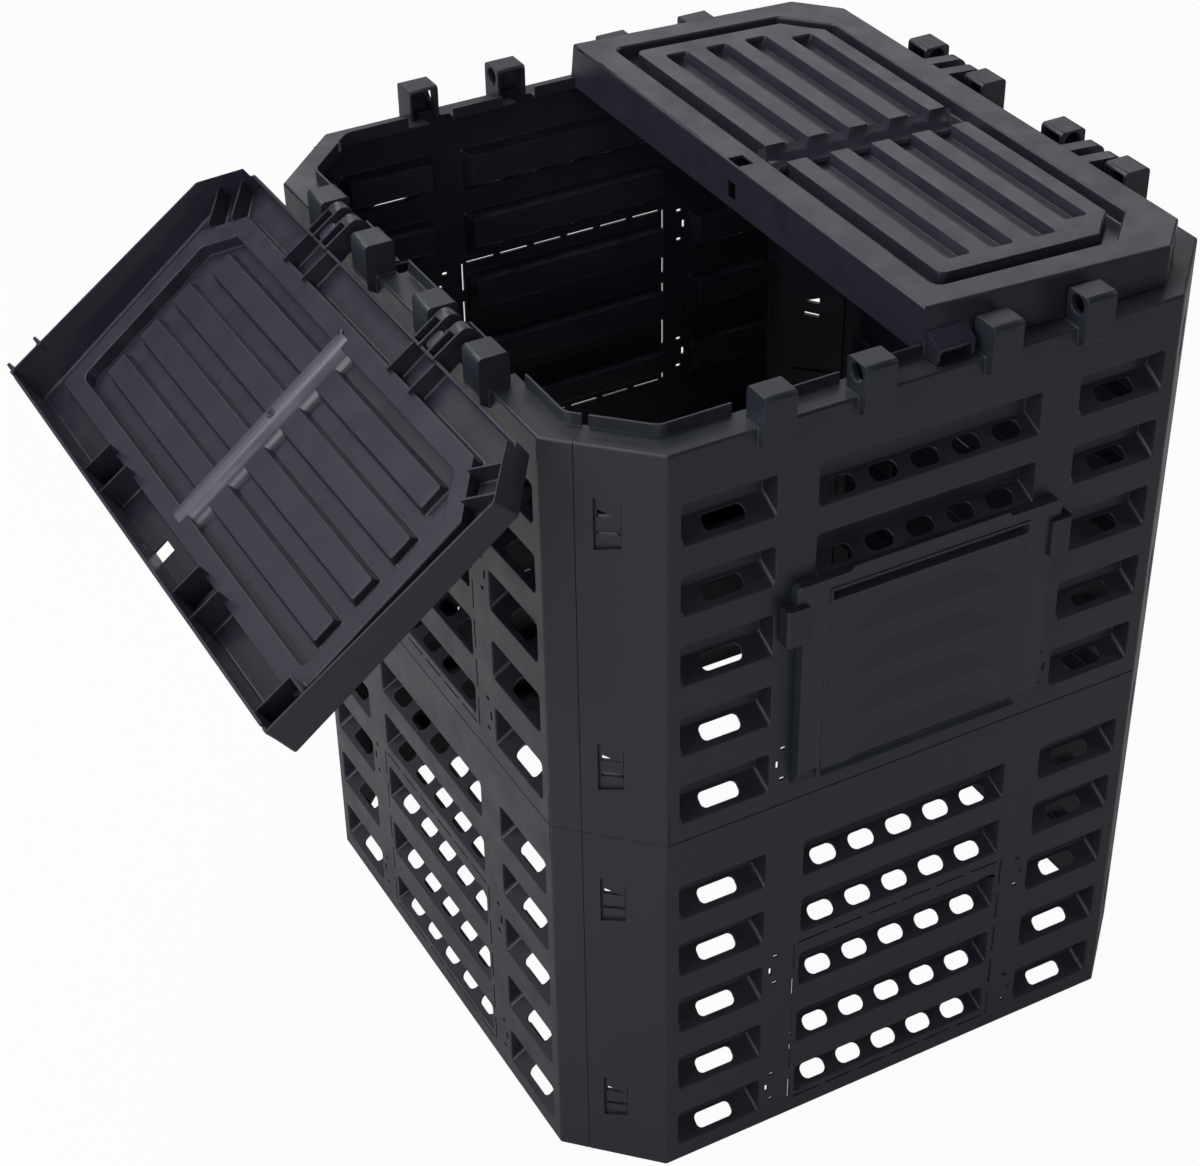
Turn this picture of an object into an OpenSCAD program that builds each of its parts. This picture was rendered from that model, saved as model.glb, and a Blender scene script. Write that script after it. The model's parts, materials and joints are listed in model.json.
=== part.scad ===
// Two-tier garden compost bin, moulded in black polypropylene.
// Eight wall panels, two swinging lids, a sliding access door and its two guide clips.
// Millimetres, +Z up. The origin is the middle of the square footprint, on the ground.
// The door faces -Y, and the lids swing outwards over the walls at +X and -X.

/* [Body] */
// Width of the bin across opposite walls
body_w = 610; // [600:1:640]
// Length that each cut corner takes off a wall
corner_leg = 69.7; // [66:0.1:74]
// Height of the lower wall panels
lower_h = 375.5; // [372:0.5:390]
// Height of the upper wall panels, up to the rim
upper_h = 373; // [370:0.5:390]
// Wall thickness of the panels
wall_t = 2.5; // [2:0.1:3]
// Clearance between separate mouldings that meet
gap = 0.3; // [0.2:0.05:0.4]

/* [Corner flanges] */
// Width of the narrow corner flange that shows beside the seam
narrow_flange = 26.7; // [22:0.1:30]
// Length of the lap that runs on behind the next panel's wide flange
lap_l = 44; // [42:0.5:48]
// Distance from the seam to the near edge of a clip window
clip_window_s = 14.8; // [12:0.1:17]
// Width of a clip window
clip_window_w = 21.5; // [19:0.5:23]
// Height of a clip window at its tall edge
clip_window_h = 47; // [42:0.5:50]
// Slope of a clip window's upper and lower edges, in degrees
clip_window_slope = 12; // [6:1:14]
// Height of the lower clip window's middle above the panel's foot
clip_window_z = 71; // [65:0.5:80]
// Distance between the two clip windows of a panel
clip_window_pitch = 233.5; // [225:0.5:240]
// How far the latch bars stay below the outer face
latch_recess = 0.9; // [0.5:0.1:1.5]

/* [Vent pockets] */
// Ceiling height of the top row of side pockets above the panel's foot
vent_top = 326; // [322:0.5:330]
// Pitch of the upper two rows
vent_pitch_high = 64.5; // [63:0.5:66]
// Pitch of the lower rows
vent_pitch_low = 69.75; // [69:0.25:70.5]
// Height of the openings in the upper two rows
vent_h_high = 36.5; // [34:0.5:38]
// Height of the openings in the lower rows
vent_h_low = 39; // [36:0.5:40]
// Width of a side pocket
side_vent_w = 83.5; // [78:0.5:86]
// Middle of the side pockets, from the middle of the wall
side_vent_x = 181.75; // [180:0.25:184]
// Width of a centre pocket
centre_vent_w = 206; // [200:0.5:207]
// How much lower the centre pockets start than the side pockets
centre_drop = 2.5; // [1:0.5:3]
// Height of the centre openings
centre_vent_h = 38.3; // [36:0.1:39]
// Height of the lowest centre opening, which stops above the knock-out line
foot_vent_h = 30; // [28:0.5:31]
// Depth of a pocket behind the outer face
pocket_depth = 18; // [15:0.5:20]
// Thickness of the pocket's own walls
pocket_t = 2.2; // [1.8:0.1:2.5]
// Rise of a side pocket's slotted floor over the pocket's depth
side_floor_rise = 14.5; // [12:0.5:16]
// Rise of a centre pocket's slotted floor over the pocket's depth
centre_floor_rise = 12.5; // [11:0.5:14]
// Inward lean of a pocket's end cheeks, per millimetre of depth
cheek_lean = 0.15; // [0.1:0.01:0.2]

/* [Floor slots] */
// Length of the single slot in a side pocket's floor
side_slot_l = 36; // [30:0.5:40]
// Width of the single slot along the sloping floor
side_slot_w = 13.7; // [12:0.1:14.5]
// Corner radius of a side slot
side_slot_r = 5; // [3:0.1:5.5]
// Length of each slot in a centre pocket's floor
centre_slot_l = 24.5; // [20:0.5:27]
// Width of a centre slot along the sloping floor
centre_slot_w = 14.8; // [13:0.1:15.2]
// Corner radius of a centre slot
centre_slot_r = 6.5; // [4:0.1:6.5]
// Pitch of the slots in a centre pocket
centre_slot_pitch = 38.5; // [36:0.1:39]

/* [Knock-out and door opening] */
// Width of the knock-out, which is also the door opening
knock_w = 218; // [217:0.5:220]
// Height of the knock-out's lower line above the panel's foot
knock_z = 17.2; // [16.5:0.1:18.5]
// Height of the knock-out
knock_h = 192; // [190:0.5:193]
// Width of the perforated slits along the knock-out line
slit_w = 1.8; // [1.4:0.1:2.2]
// Length of a slit
slit_l = 29; // [26:0.5:30]
// Pitch of the slits along the top and the bottom line
slit_pitch_x = 36; // [35:0.1:37]
// Pitch of the slits along the side lines
slit_pitch_z = 40.5; // [39:0.1:41]

/* [Door clips] */
// Distance from the door's side to the middle of a clip's peg holes
peg_from_door = 8; // [6.5:0.5:9.5]
// Distance from the peg holes to the upright slot beside them
peg_slot_step = 5.1; // [4.8:0.1:5.5]
// Height of the upper hole group's middle above the panel's foot
peg_z = 187.5; // [185:0.5:190]
// Height of the lower hole group's middle above the panel's foot
peg_low_z = 43; // [40:0.5:46]
// Distance between a group's two peg holes
peg_pitch = 31.6; // [28:0.1:32]
// Length of a peg hole
peg_hole_l = 5; // [4:0.1:6]
// Height of a peg hole
peg_hole_h = 3; // [2.4:0.1:3.4]
// Height of the upright slot
peg_slot_h = 8; // [6:0.5:10]
// Height of a clip
clip_h = 35; // [35:0.5:38]
// Width of a clip
clip_w = 20; // [18:0.5:21]
// How far a clip stands out from the wall
clip_out = 14; // [13.5:0.1:16]
// How far a clip's lip reaches over the door
clip_lap = 3.8; // [3:0.1:4.5]

/* [Access door] */
// Width of the door's body
door_w = 239; // [238:0.5:240]
// Width of the door's shoulders, which rest on the clips
door_shoulder_w = 252; // [250:0.5:256]
// How far the door's face stands out from the wall
door_out = 10; // [9.5:0.1:11]
// Thickness of the door's shell
door_t = 2.2; // [1.8:0.1:2.4]
// Height of the shoulders
door_shoulder_h = 17; // [15:0.5:19]
// Height of the thin lip on top of the door
door_lip_h = 4; // [3:0.5:6]
// Width of the thin lip on top of the door
door_lip_w = 154; // [140:1:160]
// Height of the door's foot above the panel's foot
door_foot_z = 19.5; // [19:0.5:21]
// Height over which the door's foot tucks in to the wall
door_tuck_h = 16; // [13:0.5:18]
// Width of the recessed field
door_field_w = 198; // [190:1:206]
// Depth of the recessed field
door_field_d = 3.4; // [2.5:0.1:3.8]
// Width of the grip groove
grip_w = 186; // [170:1:196]
// Height of the grip groove
grip_h = 9; // [7:0.5:10]
// Depth of the grip groove
grip_d = 6.8; // [5:0.1:7]
// Number of pressed-in louvres
louvre_count = 4; // [4:1:4]
// Pitch of the louvres
louvre_pitch = 42.8; // [40:0.1:43]
// Depth of a louvre below the field at its upper edge
louvre_in = 3; // [2:0.1:3.2]
// Height of a louvre
louvre_h = 25.3; // [22:0.1:26]
// Width of a louvre at its lower edge, where it comes up to the field
louvre_w = 152; // [140:1:160]
// Width of a louvre at its upper edge
louvre_top_w = 81; // [60:1:90]
// Middle of the louvres, from the middle of the door
louvre_x = 4; // [0:0.5:6]

/* [Rim] */
// Width of the rim ledge, from the outer face inwards
ledge_w = 28; // [26:0.5:30]
// Height of the upstand lip on the ledge's inner edge
lip_h = 10; // [8:0.5:10]
// Thickness of the upstand lip
lip_t = 2; // [1.6:0.1:2.4]
// Corner radius of the upstand lip
lip_r = 15; // [10:0.5:20]
// Width of the break in the lip beside each corner seam
lip_break = 10; // [6:0.5:12]
// Height of the lip between the two lugs of a pair, under the lid's fingers
lip_pair_h = 8; // [6:0.5:8.5]
// Width of the ledge's notch beside a lug near the middle
inner_notch = 4.5; // [3:0.5:8]
// Width of the ledge's notch beside a lug near the corner
outer_notch = 9.5; // [6:0.5:12]

/* [Hinge] */
// Height of the hinge axis above the rim
axis_z = 18.5; // [18:0.1:20]
// Distance of the hinge axis inside the outer wall face
axis_in = 5; // [4.5:0.1:5.5]
// Diameter of the hinge holes in the lugs
hinge_hole_d = 16; // [14:0.1:16]
// Radial running clearance of a hinge stub in its hole
hinge_fit = 0.08; // [0.05:0.01:0.1]
// Middle of the inner lugs from the middle of the wall
lug_inner_x = 57.5; // [56:0.1:59]
// Middle of the outer lugs from the middle of the wall
lug_outer_x = 145; // [144:0.1:147]
// Width of a lug
lug_w = 28; // [26:0.5:29]
// How far a lug stands out from the wall
lug_out = 8.5; // [8:0.1:9]
// How far a lug reaches inwards from the outer wall face
lug_in = 18; // [17:0.1:18]
// Height of a lug above the hinge axis
lug_top = 10; // [9.5:0.1:11]
// Height that a lug's skirt hangs below the rim, at the wall
lug_drop = 16.5; // [12:0.5:20]
// Wall thickness of a lug
lug_t = 2.5; // [2:0.1:3]
// Radius of a lug's upper edges
lug_r = 4; // [3:0.5:5]
// Radius of the hinge fingers around the axis
finger_r = 9.6; // [8.8:0.1:9.8]
// Width of a hinge finger
finger_w = 13; // [12:0.5:14]
// Space between the two fingers of a pair
finger_space = 12; // [10:0.5:13]
// Side play between a finger and the lug that holds its stub
finger_play = 2.4; // [2:0.1:3]
// How far the lid swings open, in degrees
lid_swing = 215.5; // [210:0.5:215.5]

/* [Lids] */
// Distance between the two webs of a pair under the lid
web_pitch = 38; // [30:1:40]
// Distance of the webs at the free edge from the lid's middle
web_free_y = 100; // [90:1:110]
// Height of the lid's free edge above the rim
lid_free_z = 42; // [40:0.5:44]
// Height of the lid's hinge edge above the rim
lid_hinge_z = 30.4; // [29.5:0.1:31]
// Half the space between the two closed lids
lid_meet = 1.5; // [1:0.1:2]
// Distance from the hinge axis to the lid's hinge-side skirt
lid_hinge_in = 27; // [26:0.5:28]
// Space between a lid's end skirts and the lugs beside them
lid_play = 0.7; // [0.5:0.1:1.2]
// Draft of the lid's end skirts over their height
lid_draft = 7; // [5:0.5:8]
// Leg of the lid's cut corners at the hinge side
lid_corner = 45; // [44:0.5:46]
// Wall thickness of a lid
lid_t = 2.5; // [2:0.1:3]
// Width of the moat
moat_w = 14; // [12:0.5:15]
// Depth of the moat
moat_d = 13; // [10:0.5:14]
// Distance from the free edge to the moat
moat_free = 29; // [28:0.5:30]
// Distance from the moat to the hinge edge
moat_hinge = 31; // [30:0.5:34]
// Half length of the moat's outer edge
moat_half_l = 253; // [250:0.5:256]
// Leg of the moat's cut corners at the hinge side
moat_corner = 38; // [34:1:42]
// Number of long grooves on each side of the cross trough
groove_count = 4; // [4:1:4]
// Pitch of the long grooves
groove_pitch = 41.5; // [40:0.5:43]
// Distance from the free edge to the middle of the first groove
groove_first = 74; // [72:0.5:76]
// Width of a long groove
groove_w = 23; // [20:0.5:26]
// Depth of a long groove
groove_d = 9; // [7:0.5:10]
// Half length of the long grooves
groove_half_l = 219; // [210:1:222]
// How much shorter the groove nearest the hinge is
groove_short = 14; // [10:1:20]
// Half width of the cross trough
trough_r = 17; // [15:0.5:18]
// Depth of the cross trough
trough_d = 14.5; // [12:0.5:15]
// Length of the latch hole
latch_l = 14; // [12:0.5:16]
// Width of the latch hole
latch_w = 18; // [14:0.5:20]
// Length of the latch slot in the free-edge skirt
skirt_slot_l = 12; // [10:0.5:14]
// Height of the latch slot in the free-edge skirt
skirt_slot_h = 16; // [14:0.5:18]
// Height of the latch slot above the lid's seat
skirt_slot_z = 8; // [6:0.5:9]
// Length of a web at a cut corner
corner_web_l = 44; // [42:0.5:46]
// Distance between the two webs at a cut corner
corner_web_pitch = 26; // [22:0.5:30]
// Width of the hood on the end skirt
hood_box_w = 35; // [30:0.5:38]
// How far the hood stands out from the middle of the bin
hood_box_y = 298; // [295:0.5:300]
// Height of the hood's front opening
hood_box_h = 14; // [12:0.5:16]

/* [Hidden] */
$fn = 48;
panel_colour = "#2b2c31";
lid_colour = "#2d2e34";
fitting_colour = "#232428";
eps = 0.02;
far = 60;
half_w = body_w / 2;
flat_w = half_w - corner_leg;
chamfer_l = corner_leg * sqrt(2);
wide_flange = chamfer_l - narrow_flange - gap;
rim_z = lower_h + upper_h;
tan_corner = tan(22.5);

// Corner geometry of one wall, seen from above with the wall's outer face at y = -half_w.
// s runs along the corner from the wall's end, and o is the depth behind the outer face.
function right_corner(s, o) = [flat_w + (s - o) / sqrt(2), -half_w + (s + o) / sqrt(2)];
function left_corner(s, o) = [-flat_w - (s - o) / sqrt(2), -half_w + (s + o) / sqrt(2)];

// Turns what is drawn for the front wall to another wall: 0 front, 1 right, 2 back, 3 left
module on_wall(quarter) {
    rotate([0, 0, 90 * quarter]) children();
}

// Rounded rectangle of exact arcs
module round_rect(l, w, r) {
    square([l, w - 2 * r], center = true);
    square([l - 2 * r, w], center = true);
    for (sx = [-1, 1], sy = [-1, 1]) translate([sx * (l / 2 - r), sy * (w / 2 - r)]) circle(r = r);
}

// Extrudes a profile of [depth, height] points along the wall, from x0 over length l.
// Depth runs inwards from the wall's outer face.
module along_wall(x0, l) {
    translate([x0, -half_w, 0]) rotate([90, 0, 90]) linear_extrude(l) children();
}

// Extrudes a drawing of [x, height] points inwards, from depth d0 over thickness t
module through_wall(d0, t) {
    translate([0, -half_w + d0 + t, 0]) rotate([90, 0, 0]) linear_extrude(t) children();
}

// Wall panels

// Plan of a wall with its two corner flanges
module wall_plan() {
    polygon([
        left_corner(wide_flange, 0),
        left_corner(0, 0),
        right_corner(0, 0),
        right_corner(narrow_flange, 0),
        right_corner(narrow_flange, wall_t),
        right_corner(tan_corner * wall_t, wall_t),
        left_corner(tan_corner * wall_t, wall_t),
        left_corner(wide_flange, wall_t)
    ]);
}

// Plan of the lap, which is rooted on the narrow flange and goes behind the next panel
module lap_plan() {
    lap_root = 9;
    lap_o = wall_t + gap;
    polygon([
        right_corner(narrow_flange - lap_root, wall_t / 2),
        right_corner(narrow_flange, wall_t / 2),
        right_corner(narrow_flange, lap_o),
        right_corner(narrow_flange + lap_l, lap_o),
        right_corner(narrow_flange + lap_l, lap_o + wall_t),
        right_corner(narrow_flange - lap_root, lap_o + wall_t)
    ]);
}

function row_ceiling(i) = vent_top - min(i, 2) * vent_pitch_high - max(i - 2, 0) * vent_pitch_low;
function row_height(i) = i < 2 ? vent_h_high : vent_h_low;
function centre_ceiling(i) = row_ceiling(i) - centre_drop;
function centre_height(i) = i < 4 ? centre_vent_h : foot_vent_h;

// Air inside a pocket: level ceiling, upright back and a floor that rises inwards
module pocket_air_profile(ceiling, h, rise) {
    polygon([
        [-1, ceiling - h],
        [0, ceiling - h],
        [pocket_depth, ceiling - h + rise],
        [pocket_depth, ceiling],
        [-1, ceiling]
    ]);
}

// The same pocket with its walls around it
module pocket_shell_profile(ceiling, h, rise) {
    slope = rise / pocket_depth;
    under = ceiling - h - pocket_t * sqrt(1 + slope * slope);
    start = wall_t / 2;
    back = pocket_depth + pocket_t;
    polygon([
        [start, under + start * slope],
        [back, under + back * slope],
        [back, ceiling + pocket_t],
        [start, ceiling + pocket_t]
    ]);
}

// Plan of a pocket whose end cheeks lean inwards; grow is the cheeks' own thickness
module pocket_plan(x, w, d0, d1, grow) {
    half = w / 2 + grow * sqrt(1 + cheek_lean * cheek_lean);
    polygon([
        [x - half + cheek_lean * d0, -half_w + d0],
        [x + half - cheek_lean * d0, -half_w + d0],
        [x + half - cheek_lean * d1, -half_w + d1],
        [x - half + cheek_lean * d1, -half_w + d1]
    ]);
}

module side_plans(d0, d1, grow, h) {
    linear_extrude(h)
        for (side = [-1, 1]) pocket_plan(side * side_vent_x, side_vent_w, d0, d1, grow);
}

module centre_plan(d0, d1, grow, h) {
    linear_extrude(h) pocket_plan(0, centre_vent_w, d0, d1, grow);
}

module side_shells(h) {
    intersection() {
        side_plans(wall_t / 2, pocket_depth + pocket_t, pocket_t, h);
        along_wall(-half_w, body_w)
            for (i = [0:4]) pocket_shell_profile(row_ceiling(i), row_height(i), side_floor_rise);
    }
}

module centre_shells(h, last_row) {
    intersection() {
        centre_plan(wall_t / 2, pocket_depth + pocket_t, pocket_t, h);
        along_wall(-flat_w, 2 * flat_w)
            for (i = [0:last_row])
                pocket_shell_profile(centre_ceiling(i), centre_height(i), centre_floor_rise);
    }
}

module side_air(h) {
    intersection() {
        side_plans(-1, pocket_depth, 0, h);
        along_wall(-half_w, body_w)
            for (i = [0:4]) pocket_air_profile(row_ceiling(i), row_height(i), side_floor_rise);
    }
}

module centre_air(h, last_row) {
    intersection() {
        centre_plan(-1, pocket_depth, 0, h);
        along_wall(-flat_w, 2 * flat_w)
            for (i = [0:last_row])
                pocket_air_profile(centre_ceiling(i), centre_height(i), centre_floor_rise);
    }
}

// Cutter for floor slots, square to a floor that starts at height z and rises at the given angle
module floor_cut(z, angle, middle) {
    translate([0, -half_w, z]) rotate([angle, 0, 0]) translate([0, middle, -pocket_t - 1])
        linear_extrude(pocket_t + 2) children();
}

module side_slots() {
    angle = atan(side_floor_rise / pocket_depth);
    floor_l = pocket_depth / cos(angle);
    for (i = [0:4]) floor_cut(row_ceiling(i) - row_height(i), angle, 0.545 * floor_l)
        for (side = [-1, 1])
            translate([side * side_vent_x, 0]) round_rect(side_slot_l, side_slot_w, side_slot_r);
}

module centre_slots(last_row) {
    angle = atan(centre_floor_rise / pocket_depth);
    floor_l = pocket_depth / cos(angle);
    for (i = [0:last_row]) floor_cut(centre_ceiling(i) - centre_height(i), angle, 0.535 * floor_l)
        for (k = [-2:2])
            translate([k * centre_slot_pitch, 0])
                round_rect(centre_slot_l, centre_slot_w, centre_slot_r);
}

// Perforated line round the part of the wall that can be cut out for a door
module knock_out_slits() {
    middle_z = knock_z + knock_h / 2;
    through_wall(-1, wall_t + 2) {
        for (i = [-2.5:2.5], end = [-1, 1])
            translate([i * slit_pitch_x, middle_z + end * knock_h / 2])
                square([slit_l, slit_w], center = true);
        for (j = [-2:2], side = [-1, 1])
            translate([side * knock_w / 2, middle_z + j * slit_pitch_z])
                square([slit_w, slit_l], center = true);
    }
}

// Two peg holes and an upright slot at each of the four places where a door clip can go
peg_x = door_w / 2 + peg_from_door;
peg_slot_x = peg_x + peg_slot_step;

module peg_holes() {
    through_wall(-1, wall_t + 2)
        for (side = [-1, 1], z = [peg_z, peg_low_z]) {
            for (end = [-1, 1])
                translate([side * peg_x, z + end * peg_pitch / 2])
                    square([peg_hole_l, peg_hole_h], center = true);
            translate([side * peg_slot_x, z]) square([peg_hole_h, peg_slot_h], center = true);
        }
}

// Outline in a corner's own plane: u runs from the seam, v is the height from the window's middle
module clip_outline(u0, u1, low, high, low_slope, high_slope) {
    polygon([
        [u0, low + low_slope * (u0 - clip_window_s)],
        [u1, low + low_slope * (u1 - clip_window_s)],
        [u1, high + high_slope * (u1 - clip_window_s)],
        [u0, high + high_slope * (u0 - clip_window_s)]
    ]);
}

// Places a drawing in the plane of the corner at the wall's left end, where u runs towards the wall
module on_left_corner(z, d0, t) {
    start = left_corner(wide_flange + gap, d0 + t);
    translate([start[0], start[1], z]) rotate([0, 0, -45]) rotate([90, 0, 0])
        linear_extrude(t) children();
}

// Places a drawing in the plane of the corner at the wall's right end, where u runs from the seam
module on_right_corner(z, d0, t) {
    start = right_corner(narrow_flange, d0 + t);
    translate([start[0], start[1], z]) rotate([0, 0, 45]) rotate([90, 0, 0])
        linear_extrude(t) children();
}

// Clip windows in the wide flange: their upper and lower edges close in from the seam side
module clip_windows() {
    slope = tan(clip_window_slope);
    for (k = [0, 1])
        on_left_corner(clip_window_z + k * clip_window_pitch, -1, wall_t + 2)
            clip_outline(clip_window_s, clip_window_s + clip_window_w,
                -clip_window_h / 2, clip_window_h / 2, slope, -slope);
}

// What fills a window from behind: a wedge and two bars on the neighbour's lap
module latch_bars() {
    slope = tan(clip_window_slope);
    free = 2.2;
    u0 = clip_window_s + free;
    u1 = clip_window_s + clip_window_w - 2 * gap;
    top = clip_window_h / 2 - gap;
    for (k = [0, 1])
        on_right_corner(clip_window_z + k * clip_window_pitch, latch_recess,
            wall_t + gap + 0.2 - latch_recess) {
            clip_outline(u0, u1, top - 9.5, top, -slope * 1.4, -slope);
            clip_outline(u0, u1, -6, 6, slope / 2, slope / 2);
            clip_outline(u0, u1, -16, -9.5, slope / 2, slope / 2);
        }
}

// Gaps in the lap beside the bars, which let the bars spring
module lap_gaps() {
    slope = tan(clip_window_slope);
    u0 = clip_window_s + 2.2;
    u1 = clip_window_s + clip_window_w - 4;
    for (k = [0, 1])
        on_right_corner(clip_window_z + k * clip_window_pitch, wall_t + gap - 1, wall_t + 2) {
            clip_outline(u0, u1, 6, clip_window_h / 2 - 9.8, slope / 2, -slope * 1.4);
            clip_outline(u0, u1, -9.5, -6, slope / 2, slope / 2);
        }
}

module wall_panel(h, last_row) {
    difference() {
        union() {
            linear_extrude(h) wall_plan();
            linear_extrude(h - wall_t - 2 * gap) lap_plan();
            side_shells(h);
            centre_shells(h, last_row);
            latch_bars();
        }
        side_air(h);
        centre_air(h, last_row);
        side_slots();
        centre_slots(last_row);
        peg_holes();
        clip_windows();
        lap_gaps();
    }
}

// Tabs along the top of a lower panel, which stand behind the upper panel's foot
tab_inner_x = 142;
tab_outer_x = 218;
tab_rise = 11;
tab_root = 12;
module tier_tabs() {
    tab_d = wall_t + gap;
    along = tab_outer_x - tab_inner_x;
    for (side = [-1, 1])
        along_wall(side * (tab_inner_x + along / 2) - along / 2, along)
            polygon([
                [wall_t / 2, lower_h - tab_root - wall_t],
                [tab_d + wall_t, lower_h - tab_root + gap],
                [tab_d + wall_t, lower_h + tab_rise],
                [tab_d + 0.6, lower_h + tab_rise],
                [tab_d, lower_h + tab_rise - 2],
                [tab_d, lower_h - gap],
                [wall_t / 2, lower_h - gap]
            ]);
}

module lower_panel() {
    difference() {
        union() {
            wall_panel(lower_h - gap, 4);
            tier_tabs();
        }
        knock_out_slits();
    }
}

// Rim

function arc_points(c, r, a0, a1, n) =
    [for (i = [0:n]) c + r * [cos(a0 + (a1 - a0) * i / n), sin(a0 + (a1 - a0) * i / n)]];

// Line parallel to the wall at depth o, which goes round both corners at depth o - 2 with radius r
function rim_line(o, r) =
    let (oc = o - 2, vx = flat_w + o - oc * sqrt(2), cx = vx - r * tan_corner, cy = -half_w + o + r)
    concat(
        [left_corner(wide_flange, oc)],
        arc_points([-cx, cy], r, -135, -90, 4),
        arc_points([cx, cy], r, -90, -45, 4),
        [right_corner(narrow_flange, oc)]
    );

function reversed(v) = [for (i = [len(v) - 1:-1:0]) v[i]];

module ledge() {
    translate([0, 0, rim_z - wall_t]) linear_extrude(wall_t)
        polygon(concat(
            [
                left_corner(wide_flange, 1),
                left_corner(tan_corner, 1),
                right_corner(tan_corner, 1),
                right_corner(narrow_flange, 1)
            ],
            reversed(rim_line(ledge_w, lip_r))
        ));
}

// The upstand lip, broken beside the seam and at the hinge lugs, and lower between the lugs of a pair
module upstand_lip() {
    pair_x0 = lug_inner_x + lug_w / 2 + gap;
    pair_x1 = lug_outer_x - lug_w / 2 - outer_notch;
    difference() {
        translate([0, 0, rim_z - eps]) linear_extrude(lip_h + eps)
            polygon(concat(rim_line(ledge_w - lip_t, lip_r), reversed(rim_line(ledge_w, lip_r - lip_t))));
        for (side = [-1, 1], span = [
            [lug_inner_x - lug_w / 2 - inner_notch, pair_x0, 0],
            [pair_x0 - 1, pair_x1 + 1, lip_pair_h],
            [pair_x1, lug_outer_x + lug_w / 2 + outer_notch - 2.5, 0]
        ])
            translate([side * (span[0] + span[1]) / 2, -half_w + ledge_w, rim_z + span[2] + far / 2])
                cube([span[1] - span[0], 3 * lip_t, far], center = true);
        translate([left_corner(wide_flange, ledge_w)[0], left_corner(wide_flange, ledge_w)[1], rim_z + far / 2])
            rotate([0, 0, 45]) cube([4 * ledge_w, lip_break, far], center = true);
    }
}

// Openings in the ledge under the middle half of each lug and beside it, towards the wall's middle
module ledge_notches() {
    for (side = [-1, 1], place = [[lug_inner_x, inner_notch], [lug_outer_x, outer_notch]]) {
        x1 = place[0] + 1;
        for (cut = [
            [place[0] - lug_w / 2 - place[1], lug_in, ledge_w + 1],
            [place[0] - lug_w / 2 + lug_t, wall_t + 1, lug_in + 1]
        ])
            translate([side * (cut[0] + x1) / 2, -half_w + (cut[1] + cut[2]) / 2, rim_z - wall_t / 2])
                cube([x1 - cut[0], cut[2] - cut[1], wall_t + 1], center = true);
    }
}

// Side of a hinge lug, from depth d0 to d1 and up to height top, with rounded upper edges
module lug_side(d0, d1, top, r) {
    translate([d0 + r, top - r]) circle(r = r);
    translate([d1 - r, top - r]) circle(r = r);
    translate([d0 + r, rim_z - eps]) square([d1 - d0 - 2 * r, top - rim_z + eps]);
    translate([d0, rim_z - eps]) square([d1 - d0, top - r - rim_z + eps]);
}

// side is 1 where the hinge hole is in the cheek at higher x, and -1 where it is in the other
module lug(x, side) {
    top = rim_z + axis_z + lug_top;
    front_foot = rim_z - lug_drop + lug_out * 0.7;
    collar_w = 3;
    collar_r = hinge_hole_d / 2 + 2;
    cheek = x + side * lug_w / 2;
    difference() {
        union() {
            difference() {
                along_wall(x - lug_w / 2, lug_w) {
                    lug_side(-lug_out, lug_in, top, lug_r);
                    polygon([
                        [-lug_out, front_foot],
                        [eps, rim_z - lug_drop],
                        [eps, rim_z],
                        [-lug_out, rim_z]
                    ]);
                }
                along_wall(x - lug_w / 2 + lug_t, lug_w - 2 * lug_t) {
                    translate([-lug_out + lug_t, rim_z])
                        square([lug_in + lug_out, top - lug_t - rim_z]);
                    polygon([
                        [-lug_out + lug_t, front_foot + lug_t * 1.6],
                        [-eps, rim_z - lug_drop + lug_t * 1.6],
                        [-eps, rim_z + eps],
                        [-lug_out + lug_t, rim_z + eps]
                    ]);
                }
            }
            translate([cheek - side * (collar_w + lug_t) / 2, -half_w + axis_in, rim_z + axis_z])
                rotate([0, 90, 0]) cylinder(r = collar_r, h = collar_w + lug_t - 2 * eps, center = true);
        }
        translate([cheek - side * (collar_w + lug_t) / 2, -half_w + axis_in, rim_z + axis_z])
            rotate([0, 90, 0]) cylinder(d = hinge_hole_d, h = collar_w + lug_t + 2, center = true);
    }
}

module lugs() {
    for (pair = [-1, 1]) {
        lug(pair * lug_inner_x, pair);
        lug(pair * lug_outer_x, -pair);
    }
}

// The upper panel, in its own tier's place; door_cut takes the knock-out out
module upper_panel(door_cut) {
    difference() {
        union() {
            translate([0, 0, lower_h]) wall_panel(upper_h, door_cut ? 1 : 4);
            ledge();
            upstand_lip();
            lugs();
        }
        ledge_notches();
        translate([0, 0, lower_h])
            if (door_cut)
                through_wall(-1, wall_t + 2)
                    translate([-knock_w / 2, knock_z]) square([knock_w, knock_h]);
            else
                knock_out_slits();
    }
}

// Access door

door_z0 = lower_h + door_foot_z;
clip_z1 = lower_h + peg_z + clip_h / 2;
clip_z0 = clip_z1 - clip_h;
door_shoulder_z = clip_z1 + gap;
door_top = door_shoulder_z + door_shoulder_h;
door_back = -gap;

// The door's outline seen from the front, drawn in by e
module door_front(e) {
    polygon([
        [-door_w / 2 + e, door_z0 + e],
        [door_w / 2 - e, door_z0 + e],
        [door_w / 2 - e, door_shoulder_z + e],
        [door_shoulder_w / 2 - e, door_shoulder_z + e],
        [door_shoulder_w / 2 - e, door_top - 4 - e],
        [door_shoulder_w / 2 - 4 - e, door_top - e],
        [-door_shoulder_w / 2 + 4 + e, door_top - e],
        [-door_shoulder_w / 2 + e, door_top - 4 - e],
        [-door_shoulder_w / 2 + e, door_shoulder_z + e],
        [-door_w / 2 + e, door_shoulder_z + e]
    ]);
}

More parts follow.
